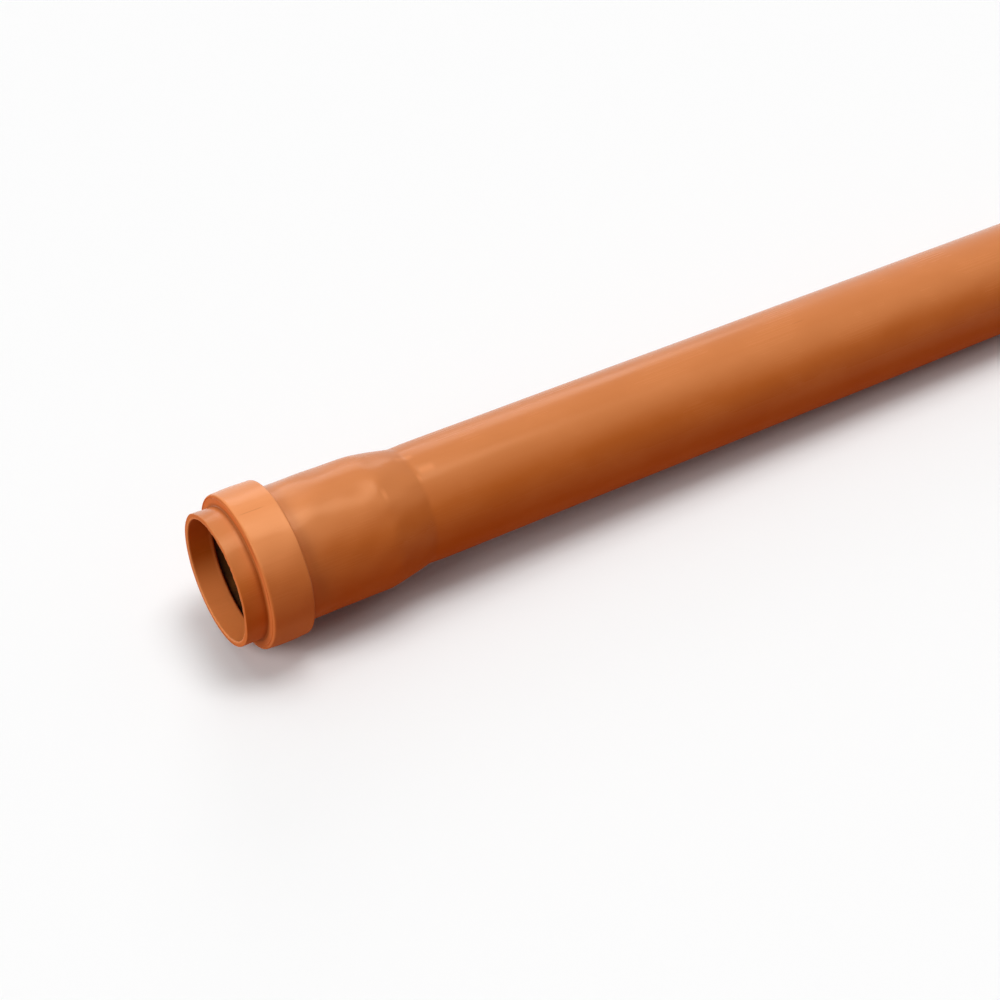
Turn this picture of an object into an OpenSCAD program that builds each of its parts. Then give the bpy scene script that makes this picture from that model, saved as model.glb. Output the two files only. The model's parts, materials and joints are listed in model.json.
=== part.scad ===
// PVC sewer pipe with a formed socket and a rubber lip seal.
// The pipe lies on a level floor on its collar and its spigot end, socket towards -X.
// Profiles are drawn as [radius, distance from the mouth] and turned about the pipe's axis.

/* [Barrel] */
// Outside diameter of the barrel and of the spigot
pipe_d = 110; // [90:1:160]
// Wall thickness of the barrel
pipe_wall = 5.3; // [4:0.1:8]
// Laying length, from the bottom of the socket to the spigot end
laying_length = 1000; // [500:50:3000]
// Length of the chamfer on the spigot end
chamfer_len = 10; // [4:0.5:14]
// Angle of the chamfer on the spigot end, in degrees
chamfer_angle = 15; // [10:1:20]

/* [Socket] */
// Radial room between a spigot and the socket wall
socket_gap = 0.7; // [0.3:0.1:1.2]
// Depth of the socket, from the mouth to its bottom
socket_depth = 148; // [110:1:220]
// Length of the lip ahead of the collar
lip_len = 20; // [12:1:35]
// Wall thickness of the lip
lip_wall = 5.1; // [4:0.1:8]
// Width of the collar
collar_w = 39; // [30:1:55]
// Height of the collar above the lip
collar_h = 10.3; // [8:0.1:16]
// Wall thickness of the collar around the ring groove
collar_wall = 4.5; // [3.5:0.1:6]
// Wall thickness of the hub behind the collar
hub_wall = 6.2; // [4:0.1:8]
// Length of the taper from the hub down to the barrel
taper_len = 40; // [20:1:80]

/* [Edges] */
// Radius of the bend from the hub into the taper
hub_bend = 60; // [20:1:60]
// Radius of the bend from the taper into the barrel
barrel_bend = 25; // [10:1:35]
// Rounding of the mouth's outer edge
mouth_round = 0.8; // [0.5:0.1:2.5]
// Rounding of the mouth's inner edge
lead_in_round = 1.2; // [0.5:0.1:1.4]
// Rounding of the collar's front edge
collar_front_round = 2.2; // [1:0.1:5]
// Rounding of the collar's rear edge
collar_rear_round = 1.5; // [0.5:0.1:3]
// Fillet where the collar stands up from the lip and from the hub
collar_fillet = 1.2; // [0.5:0.1:2]
// Rounding of the ring groove's corners
groove_round = 2.5; // [1:0.1:3]

/* [Seal ring] */
// Room between the seal ring and its groove
seal_gap = 0.15; // [0.05:0.05:0.3]
// Number of sealing lips
seal_lips = 2; // [1:1:3]
// Height of the sealing lips
seal_lip_h = 4; // [2:0.1:5]
// Room between the pressed sealing lips and the line of the socket wall
seal_relief = 0.2; // [0.1:0.05:0.4]
// Rounding of the seal ring's edges
seal_round = 0.6; // [0.3:0.1:1]

/* [Hidden] */

// Fineness of turned surfaces
$fn = 180;
// Largest turn of one straight step along a rounded corner, in degrees
corner_step = 10;
// Fewest straight steps along a rounded corner
fewest_steps = 5;
// Share of its pitch at which a sealing lip peaks
lip_peak = 0.75;

// Radii
pipe_r = pipe_d / 2;
bore_r = pipe_r - pipe_wall;
socket_r = pipe_r + socket_gap;
lip_r = socket_r + lip_wall;
collar_r = lip_r + collar_h;
hub_r = socket_r + hub_wall;
groove_r = collar_r - collar_wall;
end_r = pipe_r - chamfer_len * tan(chamfer_angle);

// Distances from the mouth
collar_front = lip_len;
collar_rear = lip_len + collar_w;
groove_front = collar_front + collar_wall;
groove_rear = collar_rear - collar_wall;
taper_end = socket_depth + taper_len;
total_len = socket_depth + laying_length;
chamfer_start = total_len - chamfer_len;

// The seal ring inside its groove
ring_front = groove_front + seal_gap;
ring_rear = groove_rear - seal_gap;
ring_r = groove_r - seal_gap;
lip_pitch = (ring_rear - ring_front) / seal_lips;
lip_crest_r = socket_r + seal_relief;
lip_root_r = lip_crest_r + seal_lip_h;

// The floor touches the collar's rear edge and the barrel where the chamfer starts.
// collar_edge is the centre of that rounded edge, as seen from the start of the chamfer.
collar_edge = [collar_r - collar_rear_round - pipe_r, chamfer_start - (collar_rear - collar_rear_round)];
rest_angle = atan(collar_edge.x / collar_edge.y) + asin(collar_rear_round / norm(collar_edge));
rest_height = chamfer_start * sin(rest_angle) + pipe_r * cos(rest_angle);
mouth_x = mouth_round * (cos(rest_angle) - 1) - (lip_r - mouth_round) * sin(rest_angle);
end_x = total_len * cos(rest_angle) + end_r * sin(rest_angle);
middle_x = (mouth_x + end_x) / 2;

function unit(v) = v / norm(v);

// Turn from angle a to angle b, the short way round
function turn(a, b) = (b - a + 540) % 360 - 180;

// Arc of radius r that rounds the corner at b, between its neighbours a and c
function rounded_corner(a, b, c, r) =
    let (
        to_a = unit(a - b),
        to_c = unit(c - b),
        half = acos(to_a * to_c) / 2,
        centre = b + unit(to_a + to_c) * r / sin(half),
        from = b + to_a * r / tan(half) - centre,
        to = b + to_c * r / tan(half) - centre,
        start = atan2(from.y, from.x),
        sweep = turn(start, atan2(to.y, to.x)),
        steps = max(fewest_steps, ceil(abs(sweep) / corner_step))
    )
    [for (i = [0 : steps]) centre + r * [cos(start + sweep * i / steps), sin(start + sweep * i / steps)]];

// Outline through corners, each given as [[radius, distance], rounding]
function outline(corners) =
    let (n = len(corners))
    [
        for (i = [0 : n - 1])
            let (
                before = corners[(i + n - 1) % n][0],
                corner = corners[i][0],
                after = corners[(i + 1) % n][0],
                r = corners[i][1]
            )
            each r == 0 ? [corner] : rounded_corner(before, corner, after, r)
    ];

// Outside of the pipe, from the mouth to the spigot end
pipe_outside = [
    [[socket_r, 0], lead_in_round],
    [[lip_r, 0], mouth_round],
    [[lip_r, collar_front], collar_fillet],
    [[collar_r, collar_front], collar_front_round],
    [[collar_r, collar_rear], collar_rear_round],
    [[hub_r, collar_rear], collar_fillet],
    [[hub_r, socket_depth], hub_bend],
    [[pipe_r, taper_end], barrel_bend],
    [[pipe_r, chamfer_start], 0],
    [[end_r, total_len], 0]
];

// Inside of the pipe, from the spigot end back to the mouth
pipe_inside = [
    [[bore_r, total_len], 0],
    [[bore_r, taper_end], barrel_bend],
    [[socket_r, socket_depth], hub_bend],
    [[socket_r, groove_rear], groove_round],
    [[groove_r, groove_rear], groove_round],
    [[groove_r, groove_front], groove_round],
    [[socket_r, groove_front], groove_round]
];

// One sealing lip from its rear root forward to its crest
function seal_lip(i) = [
    [[lip_root_r, ring_front + lip_pitch * (i + 1)], seal_round],
    [[lip_crest_r, ring_front + lip_pitch * (i + lip_peak)], seal_round]
];

// The seal ring's back in the groove, then its lips from rear to front
seal_section = concat(
    [
        [[lip_root_r, ring_front], seal_round],
        [[ring_r, ring_front], groove_round - seal_gap],
        [[ring_r, ring_rear], groove_round - seal_gap]
    ],
    [for (i = [seal_lips - 1 : -1 : 0]) each seal_lip(i)]
);

// Turns a section about the pipe's axis and lays it on the floor, centred over the origin
module turned(section) {
    translate([-middle_x, 0, rest_height])
        rotate([0, 90 + rest_angle, 0])
            rotate_extrude()
                polygon(outline(section));
}

module pipe() {
    color("#c9743c")
        turned(concat(pipe_outside, pipe_inside));
}

module seal_ring() {
    color("#211d1b")
        turned(seal_section);
}

pipe();
seal_ring();
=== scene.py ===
"""Looks of a PVC sewer pipe with a rubber lip seal.

Lengths are in metres and angles in radians, unless a comment says otherwise.
A point on a turned surface is given by s, its distance from the mouth along the pipe's axis,
r, its distance from the axis, and phi, its angle round the axis, from the top towards +Y.
"""
import json
import math
from collections import namedtuple

import bpy
import numpy as np
from mathutils import Matrix, Vector


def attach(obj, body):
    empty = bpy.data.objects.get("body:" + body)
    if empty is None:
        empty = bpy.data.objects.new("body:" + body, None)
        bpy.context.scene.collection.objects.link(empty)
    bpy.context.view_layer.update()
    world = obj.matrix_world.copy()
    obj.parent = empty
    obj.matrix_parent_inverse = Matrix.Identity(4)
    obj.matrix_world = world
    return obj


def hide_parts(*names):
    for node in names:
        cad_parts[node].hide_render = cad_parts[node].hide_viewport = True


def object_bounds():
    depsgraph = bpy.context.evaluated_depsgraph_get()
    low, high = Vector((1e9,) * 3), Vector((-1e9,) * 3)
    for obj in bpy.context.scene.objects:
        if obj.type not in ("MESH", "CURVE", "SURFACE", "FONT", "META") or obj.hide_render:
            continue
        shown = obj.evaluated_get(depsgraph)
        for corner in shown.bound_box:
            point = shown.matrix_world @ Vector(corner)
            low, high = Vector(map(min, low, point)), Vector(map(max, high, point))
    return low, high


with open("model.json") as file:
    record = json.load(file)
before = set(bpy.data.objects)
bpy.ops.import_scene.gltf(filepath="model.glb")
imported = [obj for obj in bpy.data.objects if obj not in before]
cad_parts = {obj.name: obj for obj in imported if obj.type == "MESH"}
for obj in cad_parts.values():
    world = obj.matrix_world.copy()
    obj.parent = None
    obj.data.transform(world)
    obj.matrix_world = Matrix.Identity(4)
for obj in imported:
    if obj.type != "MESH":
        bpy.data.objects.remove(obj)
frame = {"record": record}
cad_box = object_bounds()
mounts = {mount["name"]: mount for mount in frame["record"]["mounts"]}

MM = 0.001

# Walls, lengths and heights
LIP_WALL = 5.1 * MM
HUB_WALL = 6.2 * MM
COLLAR_WALL = 4.5 * MM
COLLAR_H = 10.3 * MM
COLLAR_W = 39 * MM
LIP_LEN = 20 * MM
SOCKET_DEPTH = 148 * MM
TAPER_LEN = 40 * MM
LAYING_LENGTH = 1000 * MM
CHAMFER_LEN = 10 * MM
CHAMFER_ANGLE = math.radians(15)

# Radii
PIPE_R = mounts["spigot"]["dims"]["r_mm"] * MM
BORE_R = mounts["barrel_bore"]["dims"]["r_mm"] * MM
SOCKET_R = mounts["socket"]["dims"]["r_mm"] * MM
LIP_R = SOCKET_R + LIP_WALL
COLLAR_R = LIP_R + COLLAR_H
HUB_R = SOCKET_R + HUB_WALL
GROOVE_R = COLLAR_R - COLLAR_WALL
END_R = PIPE_R - CHAMFER_LEN * math.tan(CHAMFER_ANGLE)

# Distances from the mouth
COLLAR_FRONT = LIP_LEN
COLLAR_REAR = COLLAR_FRONT + COLLAR_W
GROOVE_FRONT = COLLAR_FRONT + COLLAR_WALL
GROOVE_REAR = COLLAR_REAR - COLLAR_WALL
TAPER_START = SOCKET_DEPTH
TAPER_END = TAPER_START + TAPER_LEN
LENGTH = SOCKET_DEPTH + LAYING_LENGTH
CHAMFER_START = LENGTH - CHAMFER_LEN

# Roundings
MOUTH_ROUND = 0.8 * MM
LEAD_IN_ROUND = 1.2 * MM
COLLAR_FRONT_ROUND = 2.2 * MM
COLLAR_REAR_ROUND = 1.5 * MM
COLLAR_FILLET = 1.2 * MM
GROOVE_ROUND = 2.5 * MM
HUB_BEND = 60 * MM
BARREL_BEND = 25 * MM
CHAMFER_ROUND = 2 * MM
CUT_ROUND = 0.35 * MM

# The seal ring; LIP_PEAK is the share of its pitch at which a sealing lip peaks
SEAL_GAP = 0.15 * MM
SEAL_LIPS = 2
SEAL_LIP_H = 4 * MM
SEAL_RELIEF = 0.2 * MM
SEAL_ROUND = 0.6 * MM
LIP_PEAK = 0.75
RING_FRONT = GROOVE_FRONT + SEAL_GAP
RING_REAR = GROOVE_REAR - SEAL_GAP
RING_R = GROOVE_R - SEAL_GAP
LIP_PITCH = (RING_REAR - RING_FRONT) / SEAL_LIPS
LIP_CREST_R = SOCKET_R + SEAL_RELIEF
LIP_ROOT_R = LIP_CREST_R + SEAL_LIP_H

# How the pipe lies
AXIS = -Vector(mounts["socket"]["axis"])
TILT = math.asin(-AXIS.z)
on_axis = Vector(mounts["socket"]["pos_m"])
mouth_x = cad_box[1].x - LENGTH * math.cos(TILT) - END_R * math.sin(TILT)
MOUTH = on_axis + AXIS * (mouth_x - on_axis.x) / AXIS.x
LAY = Matrix.Translation(MOUTH) @ Matrix.Rotation(TILT, 4, "Y")

# Fineness of the turned meshes
SEGMENTS = 256
ARC_STEP = math.radians(15)
FEWEST_STEPS = 6
# Distance from a rounding to the nearest point of a straight stretch, and the shortest stretch with points
HOLD = 0.5 * MM
SHORTEST_HELD = 4 * HOLD


def rounded_corner(before, corner, after, radius):
    """Points of the arc that rounds a corner between its two neighbours."""
    to_before = (before - corner).normalized()
    to_after = (after - corner).normalized()
    half = to_before.angle(to_after) / 2
    centre = corner + (to_before + to_after).normalized() * radius / math.sin(half)
    start = corner + to_before * radius / math.tan(half) - centre
    end = corner + to_after * radius / math.tan(half) - centre
    first = math.atan2(start.y, start.x)
    sweep = (math.atan2(end.y, end.x) - first + 3 * math.pi) % math.tau - math.pi
    steps = max(FEWEST_STEPS, math.ceil(abs(sweep) / ARC_STEP))
    angles = [first + sweep * i / steps for i in range(steps + 1)]
    return [centre + radius * Vector((math.cos(a), math.sin(a))) for a in angles]


def between(start, end, gap):
    """Points inside a straight stretch: one close to each end, and the rest at most gap apart."""
    length = (end - start).length
    if length < SHORTEST_HELD:
        return []
    count = max(1, math.ceil((length - 2 * HOLD) / gap))
    places = [HOLD + (length - 2 * HOLD) * i / count for i in range(count + 1)]
    return [start.lerp(end, place / length) for place in places]


def section(corners):
    """Closed outline as an array of (s, r).

    Each corner is (s, r, rounding, gap), where gap is the widest step on the way to the next corner.
    """
    places = [Vector((s, r)) for s, r, _, _ in corners]
    arcs = []
    for i, (_, _, radius, _) in enumerate(corners):
        before, after = places[i - 1], places[(i + 1) % len(places)]
        arcs.append(rounded_corner(before, places[i], after, radius))
    points = []
    for i, (_, _, _, gap) in enumerate(corners):
        points += arcs[i] + between(arcs[i][-1], arcs[(i + 1) % len(arcs)][0], gap)
    return np.array(points)


def waves(s, phi, rng, count, turns, lengths):
    """Smooth seeded unevenness, mostly between -1 and 1, over a turned surface.

    turns is the range of whole waves round the axis, and lengths that of the wavelengths along it.
    """
    total = np.zeros(np.broadcast(s, phi).shape)
    for _ in range(count):
        around = int(rng.integers(turns[0], turns[1] + 1))
        along = math.tau / rng.uniform(*lengths) * rng.choice((-1, 1))
        total += np.cos(around * phi + along * s + rng.uniform(0, math.tau))
    return total / math.sqrt(count)


def bell(x, centre, width):
    """Smooth bump of height 1."""
    return np.exp(-(((x - centre) / width) ** 2))


def rise(x, start, end):
    """Smooth step from 0 at start to 1 at end."""
    t = np.clip((x - start) / (end - start), 0, 1)
    return t * t * (3 - 2 * t)


def turned_piece(name, points, relief):
    """Mesh of a closed (s, r) outline turned about the pipe's axis, with a relief along its normal.

    relief takes s, r, phi and how far the surface faces away from the axis, from -1 to 1.
    """
    tangent = np.roll(points, -1, axis=0) - np.roll(points, 1, axis=0)
    tangent /= np.linalg.norm(tangent, axis=1)[:, None]
    phi = np.arange(SEGMENTS)[None, :] * math.tau / SEGMENTS
    s, r = points[:, :1], points[:, 1:]
    height = relief(s, r, phi, tangent[:, :1])
    s = s - tangent[:, 1:] * height
    r = r + tangent[:, :1] * height
    local = np.stack((s + 0 * phi, r * np.sin(phi), r * np.cos(phi)), axis=-1).reshape(-1, 3)
    lay = np.array(LAY)
    vertices = local @ lay[:3, :3].T + lay[:3, 3]

    ring, segment = np.meshgrid(np.arange(len(points)), np.arange(SEGMENTS), indexing="ij")
    next_ring, next_segment = (ring + 1) % len(points), (segment + 1) % SEGMENTS
    corners = ((ring, segment), (next_ring, segment), (next_ring, next_segment), (ring, next_segment))
    faces = np.stack([i * SEGMENTS + j for i, j in corners], axis=-1).reshape(-1, 4)
    mesh = bpy.data.meshes.new(name)
    mesh.from_pydata(vertices.tolist(), [], faces.tolist())
    mesh.shade_smooth()
    piece = bpy.data.objects.new(name, mesh)
    bpy.context.scene.collection.objects.link(piece)
    return piece


# Pipe: widest steps along its outline
FACE_GAP = 2.5 * MM
COLLAR_GAP = 2.5 * MM
HUB_GAP = 5 * MM
TAPER_GAP = 3 * MM
BARREL_GAP = 13 * MM
BORE_GAP = 40 * MM

# Thin line that the mould leaves round the collar's front face
LINE_R = 68.2 * MM
LINE_WIDTH = 1.2 * MM
LINE_DEPTH = 0.8 * MM
LINE_ROUND = 0.15 * MM

pipe_section = section([
    (0, SOCKET_R, LEAD_IN_ROUND, FACE_GAP),
    (0, LIP_R, MOUTH_ROUND, COLLAR_GAP),
    (COLLAR_FRONT, LIP_R, COLLAR_FILLET, FACE_GAP),
    (COLLAR_FRONT, LINE_R - LINE_WIDTH / 2, LINE_ROUND, FACE_GAP),
    (COLLAR_FRONT + LINE_DEPTH, LINE_R, LINE_ROUND, FACE_GAP),
    (COLLAR_FRONT, LINE_R + LINE_WIDTH / 2, LINE_ROUND, FACE_GAP),
    (COLLAR_FRONT, COLLAR_R, COLLAR_FRONT_ROUND, COLLAR_GAP),
    (COLLAR_REAR, COLLAR_R, COLLAR_REAR_ROUND, FACE_GAP),
    (COLLAR_REAR, HUB_R, COLLAR_FILLET, HUB_GAP),
    (TAPER_START, HUB_R, HUB_BEND, TAPER_GAP),
    (TAPER_END, PIPE_R, BARREL_BEND, BARREL_GAP),
    (CHAMFER_START, PIPE_R, CHAMFER_ROUND, FACE_GAP),
    (LENGTH, END_R, CUT_ROUND, FACE_GAP),
    (LENGTH, BORE_R, CUT_ROUND, BORE_GAP),
    (TAPER_END, BORE_R, BARREL_BEND, HUB_GAP),
    (TAPER_START, SOCKET_R, HUB_BEND, HUB_GAP),
    (GROOVE_REAR, SOCKET_R, GROOVE_ROUND, FACE_GAP),
    (GROOVE_REAR, GROOVE_R, GROOVE_ROUND, HUB_GAP),
    (GROOVE_FRONT, GROOVE_R, GROOVE_ROUND, FACE_GAP),
    (GROOVE_FRONT, SOCKET_R, GROOVE_ROUND, COLLAR_GAP),
])

# Relief: its height, then how many waves make it, their turns round the axis and their lengths along it
PIPE_SEED = 7
BARREL_HEIGHT = 0.06 * MM
BARREL_WAVES = (8, (3, 9), (0.12, 0.5))
SOCKET_HEIGHT = 0.28 * MM
SOCKET_WAVES = (8, (4, 12), (0.035, 0.12))
BEND_HEIGHT = 0.13 * MM
BEND_WAVES = (6, (8, 20), (0.03, 0.07))
BEND_REACH = 14 * MM
# Rough inner edge of the mouth
RIM_HEIGHT = 0.22 * MM
RIM_WAVES = (10, (20, 70), (0.1, 0.2))
RIM_REACH = 1.5 * MM
# Shallow neck where the taper meets the barrel, deeper in some places round it than in others
NECK_S = TAPER_END + 1 * MM
NECK_WIDTH = 9 * MM
NECK_DEPTH = 0.45 * MM
NECK_UNEVEN = 0.5
NECK_WAVES = (5, (3, 9), (1, 2))
# Length over which the relief of the outside fades out ahead of the chamfer
SPIGOT_FADE = 20 * MM
# How far a surface faces away from the axis, from 0 to 1, where that relief begins
LEAST_OUTWARD = 0.3


def pipe_relief(s, r, phi, outward):
    """Unevenness from extruding the barrel and forming the socket, and the mouth's rough inner edge."""
    rng = np.random.default_rng(PIPE_SEED)
    outside = rise(outward, LEAST_OUTWARD, 1) * (1 - rise(s, CHAMFER_START - SPIGOT_FADE, CHAMFER_START))
    in_socket = 1 - rise(s, TAPER_START, TAPER_END)
    barrel = BARREL_HEIGHT * waves(s, phi, rng, *BARREL_WAVES) * (1 - in_socket)
    socket = SOCKET_HEIGHT * waves(s, phi, rng, *SOCKET_WAVES) * in_socket
    at_bends = bell(s, TAPER_START, BEND_REACH) + bell(s, TAPER_END, BEND_REACH)
    bends = BEND_HEIGHT * waves(s, phi, rng, *BEND_WAVES) * at_bends
    neck = NECK_DEPTH * (1 + NECK_UNEVEN * waves(0, phi, rng, *NECK_WAVES)) * bell(s, NECK_S, NECK_WIDTH)
    at_rim = bell(s, 0, LEAD_IN_ROUND) * bell(r, SOCKET_R, RIM_REACH)
    rim = RIM_HEIGHT * waves(s, phi, rng, *RIM_WAVES) * at_rim
    return outside * (barrel + socket + bends - neck) + rim


pipe = turned_piece("pvc_pipe", pipe_section, pipe_relief)
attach(pipe, "root")
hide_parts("pipe")

# Seal ring
SEAL_FINE_GAP = 1.5 * MM
SEAL_SEED = 3
SEAL_HEIGHT = 0.04 * MM
SEAL_WAVES = (8, (5, 30), (0.02, 0.1))
# How far a surface faces the axis, from 0 to 1, where its relief reaches full height
SEAL_INWARD = 0.5

seal_corners = [
    (RING_FRONT, LIP_ROOT_R, SEAL_ROUND, SEAL_FINE_GAP),
    (RING_FRONT, RING_R, GROOVE_ROUND - SEAL_GAP, COLLAR_GAP),
    (RING_REAR, RING_R, GROOVE_ROUND - SEAL_GAP, SEAL_FINE_GAP),
]
for lip in reversed(range(SEAL_LIPS)):
    seal_corners += [
        (RING_FRONT + LIP_PITCH * (lip + 1), LIP_ROOT_R, SEAL_ROUND, SEAL_FINE_GAP),
        (RING_FRONT + LIP_PITCH * (lip + LIP_PEAK), LIP_CREST_R, SEAL_ROUND, SEAL_FINE_GAP),
    ]


def seal_relief(s, r, phi, outward):
    """Slight slackness of the moulded lips."""
    rng = np.random.default_rng(SEAL_SEED)
    return SEAL_HEIGHT * rise(-outward, 0, SEAL_INWARD) * waves(s, phi, rng, *SEAL_WAVES)


seal = turned_piece("rubber_seal", section(seal_corners), seal_relief)
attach(seal, "root")
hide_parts("seal_ring")


def add_node(tree, kind, inputs=None, **settings):
    """New shader node, with its settings and with its inputs set to values or linked to sockets."""
    made = tree.nodes.new("ShaderNode" + kind)
    for name, value in settings.items():
        setattr(made, name, value)
    for name, value in (inputs or {}).items():
        if isinstance(value, bpy.types.NodeSocket):
            tree.links.new(value, made.inputs[name])
        else:
            made.inputs[name].default_value = value
    return made


def new_material(name):
    """New material with an empty node tree and an output node."""
    material = bpy.data.materials.new(name)
    material.use_nodes = True
    tree = material.node_tree
    tree.nodes.clear()
    return material, tree, add_node(tree, "OutputMaterial")


def pipe_coordinates(tree):
    """Place on the pipe: X along its axis from the mouth, Y and Z across."""
    place = add_node(tree, "TexCoord").outputs["Object"]
    mapping = add_node(tree, "Mapping", {"Vector": place}, vector_type="TEXTURE")
    mapping.inputs["Location"].default_value = MOUTH
    mapping.inputs["Rotation"].default_value = (0, TILT, 0)
    return mapping.outputs["Vector"]


Surface = namedtuple("Surface", "place along across radius facing_x facing_up")


def pipe_surface(tree):
    """Sockets for a point's place on the pipe and for the way its surface faces, from -1 to 1."""
    place = pipe_coordinates(tree)
    along = add_node(tree, "SeparateXYZ", {"Vector": place}).outputs["X"]
    across = add_node(tree, "VectorMath", {0: place, 1: (0, 1, 1)}, operation="MULTIPLY").outputs["Vector"]
    radius = add_node(tree, "VectorMath", {0: across}, operation="LENGTH").outputs["Value"]
    normal = add_node(tree, "NewGeometry").outputs["Normal"]
    facing = add_node(tree, "SeparateXYZ", {"Vector": normal}).outputs
    return Surface(place, along, across, radius, facing["X"], facing["Z"])


NOISE_ROUGHNESS = 0.55


def stretched_noise(tree, place, along, across, detail):
    """Noise with its own fineness, in waves a metre, along the pipe and across it."""
    scaled = add_node(tree, "Mapping", {"Vector": place, "Scale": (along, across, across)}).outputs["Vector"]
    inputs = {"Vector": scaled, "Scale": 1.0, "Detail": detail, "Roughness": NOISE_ROUGHNESS}
    return add_node(tree, "TexNoise", inputs).outputs["Fac"]


def mapped(tree, value, span, first, last):
    """Smooth change from first, where the value is at the start of span or below, to last at its end."""
    inputs = {"Value": value, "From Min": span[0], "From Max": span[1], "To Min": first, "To Max": last}
    return add_node(tree, "MapRange", inputs, interpolation_type="SMOOTHSTEP").outputs["Result"]


def maths(tree, operation, a, b):
    """Result of an operation on two values or sockets."""
    return add_node(tree, "Math", {0: a, 1: b}, operation=operation).outputs[0]


def product(tree, first, *others):
    """Product of values or sockets."""
    for other in others:
        first = maths(tree, "MULTIPLY", first, other)
    return first


def distance(tree, place, other):
    """Distance between two places."""
    return add_node(tree, "VectorMath", {0: place, 1: other}, operation="DISTANCE").outputs["Value"]


def near_ring(tree, at, s, r, reach):
    """1 on the ring at s and r round the pipe's axis, falling to 0 at reach from it."""
    on_section = add_node(tree, "CombineXYZ", {"X": at.along, "Y": at.radius}).outputs["Vector"]
    return mapped(tree, distance(tree, on_section, (s, r, 0)), (0.0, reach), 1.0, 0.0)


# A Mix node has sockets for each kind of data, and these are the numbers of those for colours
MIX_FACTOR = 0
MIX_A = 6
MIX_B = 7
MIX_RESULT = 2


def mixed_colour(tree, factor, a, b):
    """Two colours mixed by a factor."""
    inputs = {MIX_FACTOR: factor, MIX_A: a, MIX_B: b}
    return add_node(tree, "Mix", inputs, data_type="RGBA").outputs[MIX_RESULT]


# PVC, with painted light and shade: paler on top and deeper underneath, by how far the surface faces up
PVC_LIT_TOP = (0.62, 0.204, 0.062, 1)
PVC_SIDE = (0.51, 0.122, 0.017, 1)
PVC_SHADED_BELOW = (0.53, 0.091, 0.003, 1)
PVC_SOCKET = (0.95, 0.360, 0.135, 1)
PVC_LIT_INSIDE = (0.97, 0.300, 0.080, 1)
PVC_STREAK = (0.50, 0.095, 0.008, 1)
PVC_DARK = (0.22, 0.050, 0.006, 1)
# How far up a surface faces where one colour turns into the next
BELOW_TO_SIDE = (-0.2, 0.65)
SIDE_TO_TOP = (0.50, 0.90)

# Paler collar and hub, with painted light on top: surfaces that don't face up get only a share of the
# paleness
PALE_COLLAR = 0.6
PALE_HUB = 0.08
PALE_START = (COLLAR_FRONT - 1 * MM, COLLAR_FRONT + 1 * MM)
PALE_FADE = (COLLAR_REAR - 5 * MM, COLLAR_REAR + 40 * MM)
PALE_END = (TAPER_START, TAPER_END)
LIT_TOP_SIDE_SHARE = 0.27
LIT_TOP_FACING = (0.4, 1.0)

# Paler colour underneath the lip and the collar, where they face down
BELOW_PALE_DEPTH = 0.2
BELOW_PALE_FACING = (-0.3, 0.0)
BELOW_PALE_END = (COLLAR_REAR - 2 * MM, COLLAR_REAR)
BELOW_PALE_RADII = (SOCKET_R + 3 * MM, SOCKET_R + 5 * MM)

# Painted light on the wall inside the mouth, where it faces up
INSIDE_RADII = (SOCKET_R + 0.3 * MM, SOCKET_R + 1.2 * MM)
INSIDE_FACING = (0.2, 0.8)
INSIDE_END = (COLLAR_FRONT, COLLAR_REAR)

# Painted light on the faces at the mouth's end, and the worn inner edge of the mouth
FRONT_LIGHT_DEPTH = 0.25
FRONT_LIGHT_FACING = (-0.9, -0.4)
EDGE_WEAR = 0.6
EDGE_REACH = 2.5 * MM

# Noise: waves a metre along the pipe, waves a metre across it, and detail
STREAK_NOISE = (1.5, 70, 4.0)
CLOUD_NOISE = (14, 22, 3.0)
LINE_NOISE = (3, 900, 2.0)
STREAK_SPAN = (0.45, 0.75)
STREAK_DEPTH = 0.07
CLOUD_SPAN = (0.35, 0.7)
CLOUD_DEPTH = 0.08

# Painted shade in the corners ahead of the collar and behind it: s, r and depth of colour
SHADE_RINGS = ((COLLAR_FRONT, LIP_R, 0.5), (COLLAR_REAR, HUB_R, 0.3))
SHADE_REACH = 6 * MM
SHADE_CLIMB = (1 * MM, 4 * MM)

# Faint dark lines along the pipe, the one on the collar a painted dark reflection, then painted highlights
# on its two bends
Mark = namedtuple("Mark", "r phi start end fade half_width colour depth")
MARKS = (
    # A painted dark reflection on the collar, then a faint dark line on the barrel
    Mark(COLLAR_R, math.radians(-8.3), 22 * MM, 48 * MM, 6 * MM, 0.9 * MM, PVC_DARK, 0.20),
    Mark(PIPE_R, math.radians(-11.5), 612 * MM, 630 * MM, 6 * MM, 0.9 * MM, PVC_DARK, 0.16),
    # Painted highlights on the hub's bend and the barrel's bend
    Mark(HUB_R, math.radians(-30), 146.5 * MM, 153.5 * MM, 3 * MM, 9 * MM, PVC_SOCKET, 0.32),
    Mark(PIPE_R, math.radians(-25), 185.5 * MM, 191.5 * MM, 2.5 * MM, 7 * MM, PVC_SOCKET, 0.30),
    Mark(PIPE_R, math.radians(-18), 190 * MM, 209 * MM, 5 * MM, 6.5 * MM, PVC_SOCKET, 0.30),
    Mark(PIPE_R, math.radians(2), 176 * MM, 198 * MM, 6 * MM, 5 * MM, PVC_SOCKET, 0.25),
)

# Gloss, which goes matt underneath and on the faces at the mouth's end
PVC_SPECULAR = 0.18
PVC_SPECULAR_TINT = (1.0, 0.60, 0.35, 1)
GLOSS_SPAN = (0.3, 0.7)
CLOUD_ROUGHNESS = (0.19, 0.27)
LINE_ROUGHNESS = (-0.02, 0.03)
MATT_ROUGHNESS = 0.5
MATT_BELOW = (-0.2, 0.35)
MATT_FRONT = (-0.9, -0.5)
LINE_BUMP = 0.02
BUMP_DISTANCE = 0.3 * MM


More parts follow.
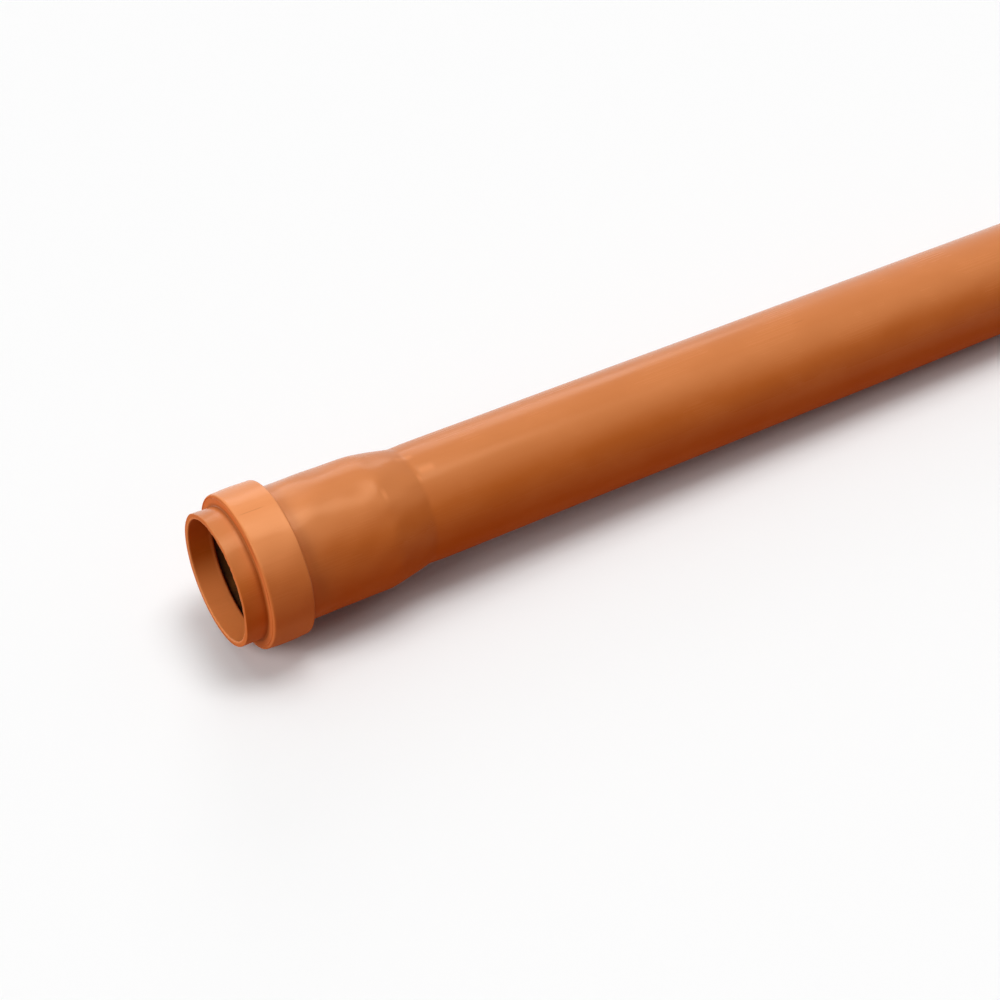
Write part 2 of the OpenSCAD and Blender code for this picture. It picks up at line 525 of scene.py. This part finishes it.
def pale_collar_and_lit_top(tree, at):
    """Depth of the paler colour on the collar and the hub, with painted light on the surfaces that face up.
    """
    return product(
        tree,
        mapped(tree, at.along, PALE_FADE, PALE_COLLAR, PALE_HUB),
        mapped(tree, at.along, PALE_START, 0.0, 1.0),
        mapped(tree, at.along, PALE_END, 1.0, 0.0),
        mapped(tree, at.facing_up, LIT_TOP_FACING, LIT_TOP_SIDE_SHARE, 1.0),
    )


def paler_below_lip_and_collar(tree, at):
    """Depth of the paler colour underneath the lip and the collar."""
    return product(
        tree,
        mapped(tree, at.facing_up, BELOW_PALE_FACING, BELOW_PALE_DEPTH, 0.0),
        mapped(tree, at.along, BELOW_PALE_END, 1.0, 0.0),
        mapped(tree, at.radius, BELOW_PALE_RADII, 0.0, 1.0),
    )


def lit_inside_mouth(tree, at):
    """1 on the wall inside the mouth where it faces up, which takes painted light."""
    return product(
        tree,
        mapped(tree, at.radius, INSIDE_RADII, 1.0, 0.0),
        mapped(tree, at.facing_up, INSIDE_FACING, 0.0, 1.0),
        mapped(tree, at.along, INSIDE_END, 1.0, 0.0),
    )


def painted_shade_depth(tree, at, s, r, depth):
    """Depth of the painted shade in the corner round the pipe at s and r, which climbs a little way."""
    climb = mapped(tree, at.radius, (r + SHADE_CLIMB[0], r + SHADE_CLIMB[1]), 1.0, 0.0)
    return product(tree, near_ring(tree, at, s, r, SHADE_REACH), depth, climb)


def marked(tree, at, mark):
    """Depth of a mark's colour, which fades out towards its sides and ends."""
    middle = (0, mark.r * math.sin(mark.phi), mark.r * math.cos(mark.phi))
    return product(
        tree,
        mapped(tree, distance(tree, at.across, middle), (0.0, mark.half_width), mark.depth, 0.0),
        mapped(tree, at.along, (mark.start, mark.start + mark.fade), 0.0, 1.0),
        mapped(tree, at.along, (mark.end - mark.fade, mark.end), 1.0, 0.0),
    )


def pvc_colour(tree, at, cloud):
    """Colour of the PVC: painted light and shade by how far it faces up, inside the mouth and on the end
    faces, a paler collar and hub, paler undersides of lip and collar, the worn mouth edge, streaks, clouds,
    painted shade in corners, and marks, some of them painted highlights.
    """
    streaks = stretched_noise(tree, at.place, *STREAK_NOISE)
    edge = near_ring(tree, at, 0.0, SOCKET_R, EDGE_REACH)
    layers = [
        # Painted light and shade: deeper colour below, paler on top, by how far the surface faces up
        (mapped(tree, at.facing_up, BELOW_TO_SIDE, 0.0, 1.0), PVC_SIDE),
        (mapped(tree, at.facing_up, SIDE_TO_TOP, 0.0, 1.0), PVC_LIT_TOP),
        # Paler collar and hub, with painted light on top
        (pale_collar_and_lit_top(tree, at), PVC_SOCKET),
        (paler_below_lip_and_collar(tree, at), PVC_SOCKET),
        # Painted light on the wall inside the mouth
        (lit_inside_mouth(tree, at), PVC_LIT_INSIDE),
        # Painted light on the faces at the mouth's end
        (mapped(tree, at.facing_x, FRONT_LIGHT_FACING, FRONT_LIGHT_DEPTH, 0.0), PVC_SOCKET),
        (product(tree, edge, EDGE_WEAR), PVC_SOCKET),
        (mapped(tree, streaks, STREAK_SPAN, 0.0, STREAK_DEPTH), PVC_STREAK),
        (mapped(tree, cloud, CLOUD_SPAN, 0.0, CLOUD_DEPTH), PVC_SOCKET),
    ]
    # Painted shade in the corners round the collar
    layers += [(painted_shade_depth(tree, at, *ring), PVC_DARK) for ring in SHADE_RINGS]
    # Marks: a painted dark reflection, a faint line and painted highlights
    layers += [(marked(tree, at, mark), mark.colour) for mark in MARKS]
    colour = PVC_SHADED_BELOW
    for depth, layer_colour in layers:
        colour = mixed_colour(tree, depth, colour, layer_colour)
    return colour


def pvc_roughness(tree, at, cloud, lines):
    """Roughness of the PVC, uneven with its clouds and extrusion lines."""
    rough = mapped(tree, cloud, GLOSS_SPAN, *CLOUD_ROUGHNESS)
    rough = maths(tree, "ADD", rough, mapped(tree, lines, GLOSS_SPAN, *LINE_ROUGHNESS))
    below = mapped(tree, at.facing_up, MATT_BELOW, MATT_ROUGHNESS, 0.0)
    front = mapped(tree, at.facing_x, MATT_FRONT, MATT_ROUGHNESS, 0.0)
    return maths(tree, "ADD", rough, maths(tree, "MAXIMUM", below, front))


def pvc_material():
    """Satin orange-brown PVC with fine extrusion lines."""
    material, tree, output = new_material("pvc")
    at = pipe_surface(tree)
    cloud = stretched_noise(tree, at.place, *CLOUD_NOISE)
    lines = stretched_noise(tree, at.place, *LINE_NOISE)
    bump = add_node(tree, "Bump", {"Height": lines, "Strength": LINE_BUMP, "Distance": BUMP_DISTANCE})
    shader = add_node(tree, "BsdfPrincipled", {
        "Base Color": pvc_colour(tree, at, cloud),
        "Roughness": pvc_roughness(tree, at, cloud, lines),
        "Normal": bump.outputs["Normal"],
        "Specular IOR Level": PVC_SPECULAR,
        "Specular Tint": PVC_SPECULAR_TINT,
    })
    tree.links.new(shader.outputs["BSDF"], output.inputs["Surface"])
    return material


# Rubber
RUBBER_DARK = (0.050, 0.017, 0.002, 1)
RUBBER_PALE = (0.120, 0.040, 0.006, 1)
RUBBER_SPECULAR = 0.06
BLOOM_NOISE = (60, 60, 4.0)
BLOOM_SPAN = (0.35, 0.7)
GRAIN_NOISE = (1500, 1500, 2.0)
GRAIN_BUMP = 0.15
RUBBER_ROUGHNESS = (0.42, 0.6)


def rubber_material():
    """Dark rubber with a paler bloom and a fine grain."""
    material, tree, output = new_material("rubber")
    place = pipe_coordinates(tree)
    bloom = stretched_noise(tree, place, *BLOOM_NOISE)
    grain = stretched_noise(tree, place, *GRAIN_NOISE)
    bloomed = mapped(tree, bloom, BLOOM_SPAN, 0.0, 1.0)
    bump = add_node(tree, "Bump", {"Height": grain, "Strength": GRAIN_BUMP, "Distance": BUMP_DISTANCE})
    shader = add_node(tree, "BsdfPrincipled", {
        "Base Color": mixed_colour(tree, bloomed, RUBBER_DARK, RUBBER_PALE),
        "Roughness": mapped(tree, bloom, GLOSS_SPAN, *RUBBER_ROUGHNESS),
        "Normal": bump.outputs["Normal"],
        "Specular IOR Level": RUBBER_SPECULAR,
    })
    tree.links.new(shader.outputs["BSDF"], output.inputs["Surface"])
    return material


pipe.data.materials.append(pvc_material())
seal.data.materials.append(rubber_material())

# Floor, white as it is seen, with a warmer and darker colour in the light that it throws back
FLOOR_SIZE = 40
FLOOR_SEEN = (0.93, 0.93, 0.93, 1)
FLOOR_BOUNCE = (0.45, 0.28, 0.18, 1)


def any_seen_ray(tree):
    """1 for camera, glossy and transmission rays, and 0 for the rays that light things."""
    path = add_node(tree, "LightPath").outputs
    seen = maths(tree, "MAXIMUM", path["Is Camera Ray"], path["Is Glossy Ray"])
    return maths(tree, "MAXIMUM", seen, path["Is Transmission Ray"])


def floor_material():
    """Plain matt floor."""
    material, tree, output = new_material("floor")
    colour = mixed_colour(tree, any_seen_ray(tree), FLOOR_BOUNCE, FLOOR_SEEN)
    lit = add_node(tree, "BsdfDiffuse", {"Color": colour})
    tree.links.new(lit.outputs["BSDF"], output.inputs["Surface"])
    return material


half_floor = FLOOR_SIZE / 2
floor_mesh = bpy.data.meshes.new("floor")
floor_corners = [(x * half_floor, y * half_floor, 0) for x, y in ((-1, -1), (1, -1), (1, 1), (-1, 1))]
floor_mesh.from_pydata(floor_corners, [], [(0, 1, 2, 3)])
floor = bpy.data.objects.new("floor", floor_mesh)
bpy.context.scene.collection.objects.link(floor)
floor.data.materials.append(floor_material())

# Light: strength of the sky, which is white and of strength 1 as it is seen
DOME = 0.15
WHITE = (1, 1, 1, 1)
# Name, strength, angular size and the direction that it shines from
SOFTBOXES = (
    ("key", 0.45, math.radians(20), (0.20, 0.24, 0.95)),
    ("front", 1.00, math.radians(23), (0.26, -0.03, 0.965)),
    ("left", 1.77, math.radians(40), (-0.84, -0.12, 0.53)),
    ("top", 0.43, math.radians(50), (0.05, 0.45, 0.89)),
    ("rim", 0.30, math.radians(23), (0.38, 0.82, 0.42)),
)

world = bpy.data.worlds.new("studio")
bpy.context.scene.world = world
world.use_nodes = True
sky = world.node_tree
sky.nodes.clear()
sky_strength = mapped(sky, any_seen_ray(sky), (0.0, 1.0), DOME, 1.0)
background = add_node(sky, "Background", {"Color": WHITE, "Strength": sky_strength})
add_node(sky, "OutputWorld", {"Surface": background.outputs["Background"]})

for name, strength, size, shines_from in SOFTBOXES:
    lamp = bpy.data.lights.new(name, "SUN")
    lamp.energy = strength
    lamp.angle = size
    light = bpy.data.objects.new(name, lamp)
    light.rotation_mode = "QUATERNION"
    light.rotation_quaternion = Vector(shines_from).to_track_quat("Z", "Y")
    bpy.context.scene.collection.objects.link(light)

# Camera: its place from the mouth is to its own right, up and back; lens and sensor are in millimetres
CAMERA_AZIMUTH = math.radians(-32.06)
CAMERA_ELEVATION = math.radians(40.47)
CAMERA_FROM_MOUTH = (0.243, 0.069, 1.540)
CAMERA_LENS = 64.98
CAMERA_SENSOR = 36

camera_data = bpy.data.cameras.new("camera")
camera_data.lens = CAMERA_LENS
camera_data.sensor_width = CAMERA_SENSOR
camera = bpy.data.objects.new("camera", camera_data)
camera_tip = Matrix.Rotation(math.pi / 2 - CAMERA_ELEVATION, 3, "X")
camera_turn = Matrix.Rotation(CAMERA_AZIMUTH, 3, "Z") @ camera_tip
camera.location = MOUTH + camera_turn @ Vector(CAMERA_FROM_MOUTH)
camera.rotation_mode = "QUATERNION"
camera.rotation_quaternion = camera_turn.to_quaternion()
bpy.context.scene.collection.objects.link(camera)
bpy.context.scene.camera = camera

bpy.context.scene.view_settings.view_transform = "Standard"

bpy.context.view_layer.update()
